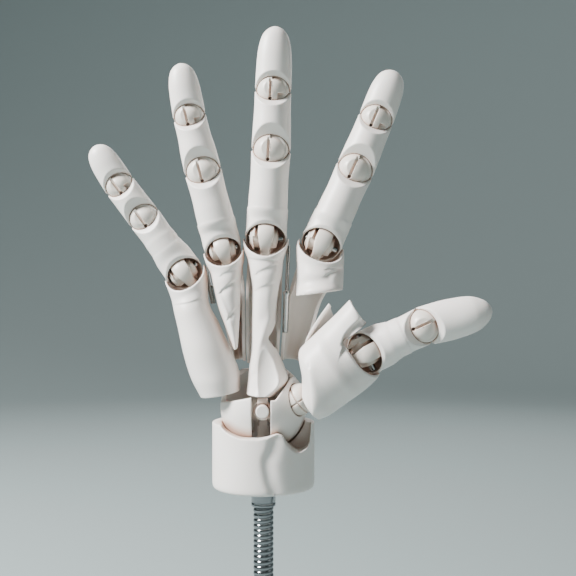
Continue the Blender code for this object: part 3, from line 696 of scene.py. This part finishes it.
def curved_cover(name, lines, side, place=None):
    """A curved shell over lines of (edge point, edge point, depth, crown, wall) from top to bottom."""
    steps = 48
    place = place or Matrix()
    rings = []
    for left, right, edge, bulge, thick in lines:
        middle, half = (left + right) / 2, (right - left) / 2
        inner_share = 1.0 - min(thick, 0.45 * half.length) / half.length
        inner_bulge = max(bulge - thick, 0.15 * bulge)
        outer, inner = [], []
        for step in range(steps + 1):
            turn = math.pi * (1 - step / steps)
            across, out = math.cos(turn), abs(math.sin(turn)) ** 0.85
            outer.append(middle + half * across + Vector((0.0, edge + side * bulge * out, 0.0)))
            shift = Vector((0.0, edge + side * inner_bulge * out, 0.0))
            inner.append(middle + half * across * inner_share + shift)
        rings.append(outer + inner[::-1])
    rings.reverse()
    count = len(rings[0])
    points = [p for ring in rings for p in ring]
    faces = []
    for row in range(len(rings) - 1):
        low, high = row * count, (row + 1) * count
        for k in range(count):
            after = (k + 1) % count
            faces.append((low + k, low + after, high + after, high + k))
    top = len(points) - count
    for k in range(count // 2 - 1):
        far = count - 1 - k
        faces.append((k + 1, k, far, far - 1))
        faces.append((top + k, top + k + 1, top + far - 1, top + far))
    if side > 0:
        faces = [tuple(reversed(face)) for face in faces]
    return make(name, points, faces, place)


def leaf_scoop():
    """A long egg that cuts the leaf-shaped facet at the foot of the middle palm cover."""
    scoop = ball("scoop", (0.0, 0.0, 0.0), 1.0, 80, 40)
    lean = Matrix.Rotation(math.radians(LEAF_LEAN), 4, "X")
    scoop.data.transform(Matrix.Translation(LEAF_CENTRE) @ lean @ Matrix.Diagonal((*LEAF_HALVES, 1.0)))
    return scoop


def palm_cover(name, side, lower):
    """A metacarpal cover: its knuckle cup, then the given cross-lines, opened round the knuckle."""
    cup = cup_rungs(name, side)
    thick = FACET_WALL if name in EDGE_NOTCHES and side < 0 else COVER_WALL
    walls = [CUP_WALL] * len(cup) + [thick] * len(lower)
    lines = []
    for row in fair([(*r, w) for r, w in zip(cup + lower, walls, strict=True)], 6):
        lines.append((on_palm(row[0:2]), on_palm(row[2:4]), row[4], row[5], row[6]))
    piece = curved_cover("cover", lines, side)
    place = frame_leaning(JOINTS[f"{name}_spread"], FINGERS[name]["lean"])
    if side < 0:
        cut(piece, wedge(place, 0.0, 60.0, MCP_LOWER_LID))
        if name in EDGE_NOTCHES:
            outline = [(-x, CUFF_FOOT + height) for x, height in fair(EDGE_NOTCHES[name], 6)]
            cut(piece, prism("notch", outline, -30.0, 1.0, Matrix.Rotation(math.pi / 2, 4, "Z")))
            cut(piece, leaf_scoop())
    else:
        cut(piece, wedge(place, 0.0, KNUCKLE_ANGLE, -60.0))
    return moulded(piece, 0.34, 4)


PALM_LINES = {
    "middle": [
        rung((-6.6, 106.0), (9.2, 106.0), -1.5, 10.2),
        rung((-5.4, 98.0), (7.6, 98.0), -2.0, 9.8),
        rung((-5.6, 84.0), (6.1, 84.0), -2.5, 10.0),
        rung((-5.8, 72.0), (6.0, 72.0), -2.5, 11.0),
        rung((-7.0, 60.0), (10.0, 61.5), -3.0, 13.4),
        rung((-8.0, 50.5), (12.4, 54.0), -4.5, 15.0),
        rung((-8.2, 47.2), (6.0, 46.4), -6.0, 14.4),
    ],
    "index": [
        rung((16.5, 106.0), (39.9, 103.5), -0.8, 12.5),
        rung((15.9, 95.0), (39.4, 98.0), -1.5, 14.0),
    ],
    "ring": [
        rung((-25.0, 101.0), (-11.2, 102.0), -2.0, 9.0),
        rung((-22.4, 90.0), (-11.3, 91.0), -3.5, 7.6),
        rung((-18.2, 79.0), (-11.8, 80.0), -6.0, 5.4),
        rung((-14.2, 68.5), (-12.4, 69.5), -8.0, 3.6),
    ],
    "pinky": [
        rung((-44.6, 88.0), (-27.2, 92.5), -1.0, 12.0),
        rung((-42.4, 79.0), (-22.2, 82.0), -1.5, 13.5),
        rung((-39.6, 66.5), (-15.4, 67.0), -2.0, 15.5),
        rung((-36.0, 55.0), (-11.6, 55.5), -2.5, 15.5),
        rung((-30.8, 45.0), (-11.4, 48.4), -3.5, 13.5),
    ],
}
# The outline of a bite out of a cover's right edge, as (x, height) points
EDGE_NOTCHES = {
    "middle": [
        (16.0, 86.0), (7.2, 83.0), (4.6, 78.0), (2.6, 74.4), (4.0, 71.6), (6.6, 69.0), (16.0, 67.0)
    ],
}
LEAF_CENTRE = Vector((2.4, -26.3, CUFF_FOOT + 61.0))
LEAF_HALVES = (12.0, 12.0, 21.0)
LEAF_LEAN = -14.0
BACK_LINES = {
    "middle": [
        rung((-8.4, 106.0), (9.4, 106.0), 0.6, 9.6),
        rung((-8.9, 90.0), (9.0, 90.0), 0.6, 9.2),
        rung((-8.7, 70.0), (8.0, 70.0), 0.6, 10.0),
        rung((-8.3, 61.5), (7.5, 61.5), 0.6, 12.0),
    ],
    "index": [
        rung((15.4, 106.0), (36.5, 106.0), 0.6, 11.4),
        rung((11.6, 92.0), (29.0, 92.0), 0.6, 12.0),
        rung((9.4, 76.0), (24.2, 76.0), 0.6, 12.5),
        rung((8.4, 63.0), (19.5, 62.0), 0.6, 13.0),
    ],
    "ring": [
        rung((-23.4, 99.0), (-9.6, 100.0), 0.6, 9.0),
        rung((-20.2, 84.0), (-9.1, 84.0), 0.6, 9.6),
        rung((-16.8, 68.0), (-8.9, 68.0), 0.6, 10.8),
        rung((-16.2, 62.5), (-8.7, 62.5), 0.6, 11.6),
    ],
    "pinky": [
        rung((-43.6, 88.0), (-29.0, 91.0), 0.6, 10.0),
        rung((-40.6, 76.0), (-20.2, 77.0), 0.6, 10.8),
        rung((-36.4, 66.0), (-17.8, 66.0), 0.6, 11.6),
        rung((-33.0, 60.0), (-17.2, 61.0), 0.6, 11.6),
    ],
}
# Folds of the palm covers: (x, height) points, width, depth and the narrower width to the right of
# the path. A negative depth is a ridge.
FOLDS = {
    "middle": [
        ([(8.6, 92.0), (5.2, 86.0), (1.0, 78.0), (-3.0, 68.0), (-5.2, 58.0)], 1.6, -0.8, 2.4),
        ([(9.6, 113.0), (0.0, 112.6), (-8.0, 113.6)], 2.6, 0.6, 0.6),
        ([(-2.6, 106.6), (6.4, 110.6)], 0.7, 0.5, 2.2),
        ([(-3.0, 98.2), (7.0, 102.0)], 0.7, 0.45, 2.4),
        ([(-0.5, 95.6), (-0.5, 84.0)], 3.0, 0.5, 3.0),
        ([(-6.3, 104.0), (-5.9, 84.0), (-6.1, 64.0)], 0.7, -0.3, 0.7),
    ],
    "index": [
        ([(32.3, 108.4), (38.0, 109.0)], 0.5, 0.4, 1.5),
        ([(32.0, 105.6), (36.0, 107.3), (40.2, 109.4)], 0.6, 0.6, 1.8),
        ([(16.0, 101.0), (25.4, 102.4), (32.3, 103.4)], 2.4, 0.7, 2.4),
        ([(16.2, 95.6), (24.0, 97.6), (32.0, 98.2), (39.6, 98.4)], 2.0, -0.9, 2.0),
    ],
    "ring": [
        ([(-20.5, 105.6), (-13.6, 108.6)], 0.6, 0.35, 2.0),
        ([(-20.8, 97.6), (-16.0, 101.4), (-11.0, 104.2)], 0.5, 0.7, 2.2),
        ([(-17.4, 84.2), (-11.6, 91.2)], 0.5, 0.6, 1.8),
        ([(-27.1, 108.7), (-23.4, 98.4), (-17.1, 83.4), (-13.4, 70.2)], 0.9, -0.5, 2.2),
    ],
    "pinky": [
        ([(-46.5, 90.0), (-38.0, 91.2), (-33.0, 93.0), (-27.0, 97.2)], 0.5, 0.4, 2.6),
    ],
}
THENAR_FOLDS = [
    ([(49.5, 83.0), (44.4, 78.9), (40.9, 74.2), (39.8, 70.6)], 4.4, 1.9, 0.8),
    ([(23.2, 58.0), (23.8, 50.0), (25.1, 34.0)], 3.0, -0.5, 0.9),
]
CUFF_FOLDS = [
    ([(5.4, 23.0), (4.0, 17.7), (1.5, 11.5), (2.7, 3.2), (5.0, -3.0)], 4.2, 1.2, 2.4),
]


def stepped_rod(node):
    """A polished rod in its sleeve, between the ends of its CAD node."""
    points = [vertex.co / MM for vertex in frame["nodes"][node].data.vertices]
    few = 8
    top = sorted(points, key=lambda p: -p.z)[:few]
    foot = sorted(points, key=lambda p: p.z)[:few]
    high, low = sum(top, Vector()) / few, sum(foot, Vector()) / few
    length = (high - low).length
    sleeve = 0.47 * length
    profile = [(1.2, 0.0), (1.5, 0.4), (1.5, sleeve - 1.6), (1.9, sleeve - 1.3), (1.9, sleeve)]
    profile += [(0.95, sleeve + 0.3), (0.95, length - 0.3), (0.7, length)]
    return turned("rod", profile, frame_along(low, high), 32)


def palm():
    """The front and back covers and the rod of each metacarpal."""
    for name in FINGERS:
        front = palm_cover(name, -1, PALM_LINES[name])
        for fold in FOLDS[name]:
            press(front, *fold)
        place_piece(front, f"{name}_palm_cover", COVER_LOOK)
        place_piece(palm_cover(name, 1, BACK_LINES[name]), f"{name}_back_cover", COVER_LOOK)
        place_piece(stepped_rod(f"{name}_rod"), f"{name}_rod", ROD_LOOK)


# ---- thumb ----------------------------------------------------------------------------------


def knuckle_room(place, length):
    """The round space for the foot of the thumb's proximal cover."""
    low, high = place @ Vector((0, 0, length - 11.0)), place @ Vector((0, 0, length + 3.0))
    return rod("room", THUMB_RADII[0] + 2 * GAP, low, high)


def thumb_cover(rows, side, place):
    """A cover from (height, left, right, edge, bulge) rows laid out in the thumb's first bone."""
    lines = []
    for height, left, right, edge, bulge in fair(rows, 7):
        ends = Vector((left, 0.0, height)), Vector((right, 0.0, height))
        lines.append((*ends, edge, bulge, THUMB_WALL))
    return curved_cover("cover", lines, side, place)


def thumb_palm(cmc, mcp):
    """The ball-of-thumb cover and the cover behind it, from the root joint to the knuckle."""
    place = frame_along(cmc, mcp)
    length = (mcp - cmc).length
    knuckle = THUMB_RADII[0] + CUP_GAP + THUMB_CUP_WALL
    front = [
        (length + 9.0, -25.5, -11.5, 0.0, 8.0),
        (length, -23.8, knuckle, 0.0, knuckle),
        (length - 10.0, -22.4, 14.2, 0.0, 14.5),
        (0.6 * length, -21.5, 14.4, 0.0, 16.5),
        (0.38 * length, -20.0, 14.4, -0.5, 16.5),
        (0.22 * length, -9.0, 14.2, -2.0, 14.5),
        (0.09 * length, -2.0, 13.0, -3.0, 11.5),
    ]
    back = [
        (length, -30.0, knuckle, 0.4, knuckle - 0.4),
        (0.75 * length, -26.6, 12.4, 0.4, 10.5),
        (0.5 * length, -22.0, 12.0, 0.4, 9.0),
        (0.42 * length, -19.0, 11.0, 0.4, 8.0),
    ]
    thenar = thumb_cover(front, -1, place)
    ball_room = THUMB_BALL + 2 * GAP
    cut(thenar, ball("room", cmc, ball_room), wedge(place, length, -20.0, THUMB_LOWER_LID, -11.8))
    moulded(cut(thenar, knuckle_room(place, length)), 0.38, 5)
    for fold in THENAR_FOLDS:
        press(thenar, *fold)
    behind = thumb_cover(back, 1, place)
    cut(behind, wedge(place, length, KNUCKLE_ANGLE, -60.0))
    cut(behind, knuckle_room(place, length), ball("room", cmc, ball_room))
    place_piece(thenar, "thenar_cover", COVER_LOOK)
    place_piece(moulded(behind, 0.38, 5), "thumb_back_cover", COVER_LOOK)


def thumb():
    """The thumb, from its seamed root ball to its tip."""
    cmc, mcp, ip = (JOINTS[f"thumb_{joint}"] for joint in ("root_spread", "knuckle_flexion", "ip_flexion"))
    tip = tip_of("thumb", ip)
    knuckle, first = THUMB_RADII
    root = frame_along(mcp, ip)
    hinge = root @ Matrix.Translation((0, 0, (ip - mcp).length))
    thumb_palm(cmc, mcp)
    root_ball = ball("root", cmc, THUMB_BALL)
    across = frame_along(cmc, mcp)
    for turn in (0.0, math.pi / 2):
        seam = turned("seam", [(THUMB_BALL + 1, -0.35), (THUMB_BALL + 1, 0.35)])
        cut(seam, turned("core", [(THUMB_BALL - 0.8, -1.0), (THUMB_BALL - 0.8, 1.0)]))
        seam.data.transform(across @ Matrix.Rotation(turn, 4, "Y"))
        cut(root_ball, seam)
    place_piece(moulded(root_ball, 0.26, 2), "thumb_root_ball", JOINT_LOOK)
    place_piece(proximal_cover(mcp, ip, knuckle, first), "thumb_proximal_cover", COVER_LOOK)
    place_piece(distal_cover(hinge, ip, tip, first, 1.06), "thumb_distal_cover", COVER_LOOK)
    place_piece(hinge_ball(hinge, first), "thumb_ip_ball", JOINT_LOOK)
    place_piece(knuckle_hub(root, knuckle), "thumb_knuckle_hub", JOINT_LOOK)
    place_piece(knuckle_pin(root, knuckle), "thumb_knuckle_pin", ROD_LOOK)


# ---- wrist and cuff -------------------------------------------------------------------------


def wrist_shell(inner_x, side):
    """A hollow dome of the wrist ball, open towards the channel between the two."""
    inside = WRIST_RADIUS - WRIST_WALL

    def arc(radius, steps):
        start = math.asin(abs(inner_x) / radius)
        turns = [start + (math.pi / 2 - start) * step / steps for step in range(steps + 1)]
        return [(radius * math.cos(turn), radius * math.sin(turn)) for turn in turns]

    lying = Matrix.Translation(WRIST) @ Matrix.Rotation(side * math.pi / 2, 4, "Y")
    dome = turned("dome", arc(WRIST_RADIUS, 24), lying, 72)
    hollow_arc = arc(inside, 20)
    return cut(dome, turned("hollow", [(hollow_arc[0][0], abs(inner_x) - 3.0), *hollow_arc], lying, 72))


def palm_side_cut(shell, slope):
    """Cuts the palm half of a shell along an (x, height) outline."""
    mirrored = [(-x, CUFF_FOOT + height) for x, height in slope]
    upright = Matrix.Rotation(math.pi / 2, 4, "Z")
    return cut(shell, prism("slope", mirrored, -30.0, 0.5, upright))


def wrist():
    """The two domes of the wrist ball, and the core, boss and link in the channel between them."""
    left = wrist_shell(CHANNEL_LEFT, -1)
    palm_side_cut(left, [(-30.0, 40.6), (6.0, 49.2), (6.0, 80.0), (-30.0, 80.0)])
    right = wrist_shell(CHANNEL_RIGHT, 1)
    slope = [(-6.0, 45.2), (6.2, 45.2), (13.2, 54.4), (33.0, 54.4), (33.0, 80.0), (-6.0, 80.0)]
    palm_side_cut(right, slope)
    cut(right, ball("room", JOINTS["thumb_root_spread"], THUMB_BALL + GAP))
    for dome, node in ((left, "ulnar_wrist_shell"), (right, "radial_wrist_shell")):
        low, high = WRIST + Vector((-7.8, -14.0, -30.0)), WRIST + Vector((7.8, 14.0, -9.0))
        cut(dome, block("post_room", low, high))
        low, high = WRIST + Vector((-30.0, -30.0, 18.4)), WRIST + Vector((30.0, 30.0, 40.0))
        cut(dome, block("top", low, high))
        place_piece(moulded(dome, 0.36, 4), node, COVER_LOOK)
    core = ball("core", WRIST, CORE_RADIUS)
    cut(core, block("slot", (-2.4, -12, WRIST.z - 12), (2.4, 12, WRIST.z + 5.4)))
    place_piece(moulded(core, 0.34, 3), "wrist_core", JOINT_LOOK)
    start = CORE_RADIUS + 0.4
    reach = WRIST_RADIUS - 0.1 - start
    profile = [(BOSS_RADIUS, 0.0), (BOSS_RADIUS, reach - 0.4), (BOSS_RADIUS - 0.4, reach)]
    facing = frame_along(WRIST + Vector((0, -start, 0)), WRIST + Vector((0, -start - reach, 0)))
    place_piece(moulded(turned("boss", profile, facing), 0.2, 2), "wrist_pin", COVER_LOOK)
    low, high = -WRIST_RADIUS + 4.2, -WRIST_RADIUS + 7.6
    arm = block("arm", (-2.4, low, WRIST.z), (2.4, high, WRIST.z + 6.2))
    join(arm, rod("eye", BOSS_RADIUS + 1.4, (0, low + 0.4, WRIST.z), (0, high - 0.4, WRIST.z)))
    cut(arm, rod("bore", BOSS_RADIUS + GAP, (0, low - 5, WRIST.z), (0, high + 5, WRIST.z)))
    place_piece(moulded(arm, 0.22, 2), "wrist_link", COVER_LOOK)


def cuff():
    """The cuff: a slightly oval cup with a rounded lip, a dipped front rim and a thumb relief."""
    low, high = (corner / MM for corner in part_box("forearm_cuff"))
    wide, deep, tall = (high.x - low.x) / 2, (high.y - low.y) / 2, high.z - low.z
    shape = [(0.0, 0.955), (0.6, 0.98), (1.6, 0.994), (3.5, 1.0), (8.0, 1.0), (tall, 1.0)]
    rows = fair([(CUFF_FOOT + z, wide * share, deep * share) for z, share in shape], 8)
    body = loft("cuff", [oval(*row, 112) for row in rows])
    cut(body, ball("cup", WRIST, WRIST_RADIUS + 0.6, 80, 40))
    dip = [(-21.0, 34.0), (-19.5, 31.4), (-15.0, 28.6), (-9.0, 27.2), (-3.0, 27.2), (3.0, 28.2)]
    relief = [(7.0, 29.4), (9.5, 28.4), (11.5, 24.6), (14.5, 21.2), (17.5, 19.8), (20.5, 20.8)]
    corner = [(22.8, 24.2), (23.6, 34.0)]
    outline = [(-x, CUFF_FOOT + z) for x, z in fair(dip + relief + corner, 6)]
    cut(body, prism("dip", outline, -30.0, -3.0, Matrix.Rotation(math.pi / 2, 4, "Z")))
    cut(body, rod("hole", 6.4, (0, 0, CUFF_FOOT - 5), (0, 0, CUFF_FOOT + 8)))
    cut(body, rod("post_hole", POST_RADIUS + GAP, (0, 0, CUFF_FOOT + 7), (0, 0, CUFF_FOOT + 24)))
    moulded(body, 0.42, 5)
    for fold in CUFF_FOLDS:
        press(body, *fold)
    place_piece(body, "forearm_cuff", COVER_LOOK)
    post = rod("post", POST_RADIUS, (0, 0, CUFF_FOOT + 8.5), (0, 0, WRIST.z - 9.5))
    join(post, block("blade", (-2.0, -2.8, WRIST.z - 11.0), (2.0, 2.8, WRIST.z)))
    join(post, rod("eye", 4.6, (-2.0, 0, WRIST.z), (2.0, 0, WRIST.z)))
    place_piece(moulded(post, 0.25, 2), "forearm_post", COVER_LOOK)


# ---- neck -----------------------------------------------------------------------------------


def wound_tube(low, high):
    """A length of wound steel neck: one round wire after another, on a helix."""
    count = 48
    steps = math.ceil((high - low) / (WIRE_PITCH / 14))
    rings = []
    for step in range(steps + 1):
        z = low + (high - low) * step / steps
        ring = []
        for k in range(count):
            turn = 2 * math.pi * k / count
            phase = math.pi * (z / WIRE_PITCH - k / count)
            radius = NECK_RADIUS - 0.75 * (1.0 - abs(math.sin(phase)) ** 0.6)
            ring.append((radius * math.cos(turn), radius * math.sin(turn), z))
        rings.append(ring)
    return loft("wound", rings)


def neck():
    """Two straight wound lengths of neck, each reaching across one of the neck's joints."""
    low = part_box("neck_lower")[0].z / MM
    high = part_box("neck_upper")[1].z / MM
    first, second = JOINTS["neck_side_bend"].z, JOINTS["neck_front_bend"].z
    middle, reach = (first + second) / 2, (second - first) / 2
    spans = (
        ("neck_lower_wound", low, middle, "base", "neck_middle", first, ("neck_lower", "neck_middle")),
        ("neck_upper_wound", middle, high, "neck_middle", "forearm", second, ("neck_upper",)),
    )
    for name, start, end, below, above, bend, nodes in spans:
        piece = wound_tube(start, end)
        piece.name = name
        piece.data.materials.append(NECK_LOOK)
        piece.data.transform(Matrix.Scale(MM, 4))
        piece.data.shade_smooth()
        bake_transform(piece)
        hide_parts(*nodes)


def ferrule():
    """The plated ferrule under the cuff, with a groove round it."""
    low, high = (corner.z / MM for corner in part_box("neck_ferrule"))
    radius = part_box("neck_ferrule")[1].x / MM
    profile = [(radius - 0.7, low), (radius, low + 0.5), (radius, low + 1.8), (radius - 0.35, low + 2.0)]
    profile += [(radius - 0.35, low + 2.5), (radius, low + 2.7), (radius, high - 0.3), (radius - 0.3, high)]
    place_piece(turned("ferrule", profile, None, 72), "neck_ferrule", CHROME_LOOK)


def fitting():
    """The mounting fitting, with a real thread on its stud."""
    low, high = (corner.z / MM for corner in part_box("mounting_fitting"))
    stud, count = 4.9, 72
    rings = []
    steps = math.ceil(-low / (THREAD_PITCH / 12))
    for step in range(steps):
        z = low + (0.0 - low) * step / steps
        fade = min(1.0, (z - low) / 1.2, -z / 1.2)
        ring = []
        for k in range(count):
            turn = 2 * math.pi * k / count
            phase = (z / THREAD_PITCH - k / count) % 1.0
            depth = 0.8 * abs(2 * phase - 1) * max(fade, 0.0) + 0.9 * max(0.0, 1.0 - (z - low))
            ring.append(((stud - depth) * math.cos(turn), (stud - depth) * math.sin(turn), z))
        rings.append(ring)
    profile = [(stud, 0.0), (8.7, 0.0), (9.0, 0.3), (9.0, 7.7), (8.7, 8.0), (7.2, 8.8), (7.0, 9.2)]
    profile += [(7.0, high - 0.6), (6.4, high)]
    rings += [oval(z, r, r, count) for r, z in profile]
    place_piece(loft("fitting", rings), "mounting_fitting", FITTING_LOOK)


# ---- stage ----------------------------------------------------------------------------------


def area_light(name, place, target, size, power):
    light = bpy.data.lights.new(name, "AREA")
    light.size = size
    light.energy = power
    obj = bpy.data.objects.new(name, light)
    obj.location = place
    obj.rotation_euler = (Vector(target) - Vector(place)).to_track_quat("-Z", "Y").to_euler()
    bpy.context.scene.collection.objects.link(obj)


def backdrop():
    """A round floor that curves up into a wall, far outside the views."""
    floor_z = CAD_BOX[0].z
    flat, wall, rise, count = 1.3, 2.3, 3.2, 96
    profile = [(0.02, 0.0), (flat, 0.0)]
    for step in range(1, 17):
        turn = math.pi / 2 * step / 16
        profile.append((flat + (wall - flat) * math.sin(turn), (wall - flat) * (1.0 - math.cos(turn))))
    profile.append((wall, rise))
    points, faces = [], []
    for radius, height in profile:
        points += oval(floor_z + height, radius, radius, count)
    for row in range(len(profile) - 1):
        low, high = row * count, (row + 1) * count
        faces += [(high + k, high + (k + 1) % count, low + (k + 1) % count, low + k) for k in range(count)]
    faces.append(tuple(range(count)))
    floor = make("floor", points, faces)
    floor.data.shade_smooth()
    look = bpy.data.materials.new("floor")
    look.use_nodes = True
    look.node_tree.nodes["Principled BSDF"].inputs["Base Color"].default_value = (0.3, 0.36, 0.36, 1.0)
    look.node_tree.nodes["Principled BSDF"].inputs["Roughness"].default_value = 0.9
    floor.data.materials.append(look)


def lights():
    """A soft key from the upper left, weak lights from the other sides and a dim even sky."""
    hand = (0.01, 0.0, 0.22)
    area_light("key", (-0.88, -0.34, 0.92), hand, 0.34, 56.0)
    area_light("side", (0.9, -0.1, 0.8), hand, 0.5, 0.6)
    area_light("fill", (0.1, -1.3, 0.6), hand, 1.0, 0.6)
    area_light("rim", (0.3, 0.9, 0.8), hand, 0.7, 4.0)
    area_light("wash", (0.0, 0.0, 2.9), (0.0, 0.0, 0.0), 1.6, 3.0)
    world = bpy.data.worlds.new("world")
    world.use_nodes = True
    world.node_tree.nodes["Background"].inputs["Color"].default_value = (0.83, 0.83, 0.82, 1.0)
    world.node_tree.nodes["Background"].inputs["Strength"].default_value = 0.065
    bpy.context.scene.world = world


def camera():
    """A level camera that faces the palm."""
    lens = bpy.data.cameras.new("camera")
    lens.lens = 55.0
    lens.sensor_width = 36.0
    obj = bpy.data.objects.new("camera", lens)
    obj.location = Vector((VIEW_X, -VIEW_DISTANCE, CUFF_FOOT + VIEW_HEIGHT)) * MM
    obj.rotation_euler = (math.pi / 2, 0.0, 0.0)
    bpy.context.scene.collection.objects.link(obj)
    bpy.context.scene.camera = obj


def main():
    for name, spec in FINGERS.items():
        finger(name, spec["radii"])
    palm()
    thumb()
    wrist()
    cuff()
    neck()
    ferrule()
    fitting()
    backdrop()
    lights()
    camera()


main()
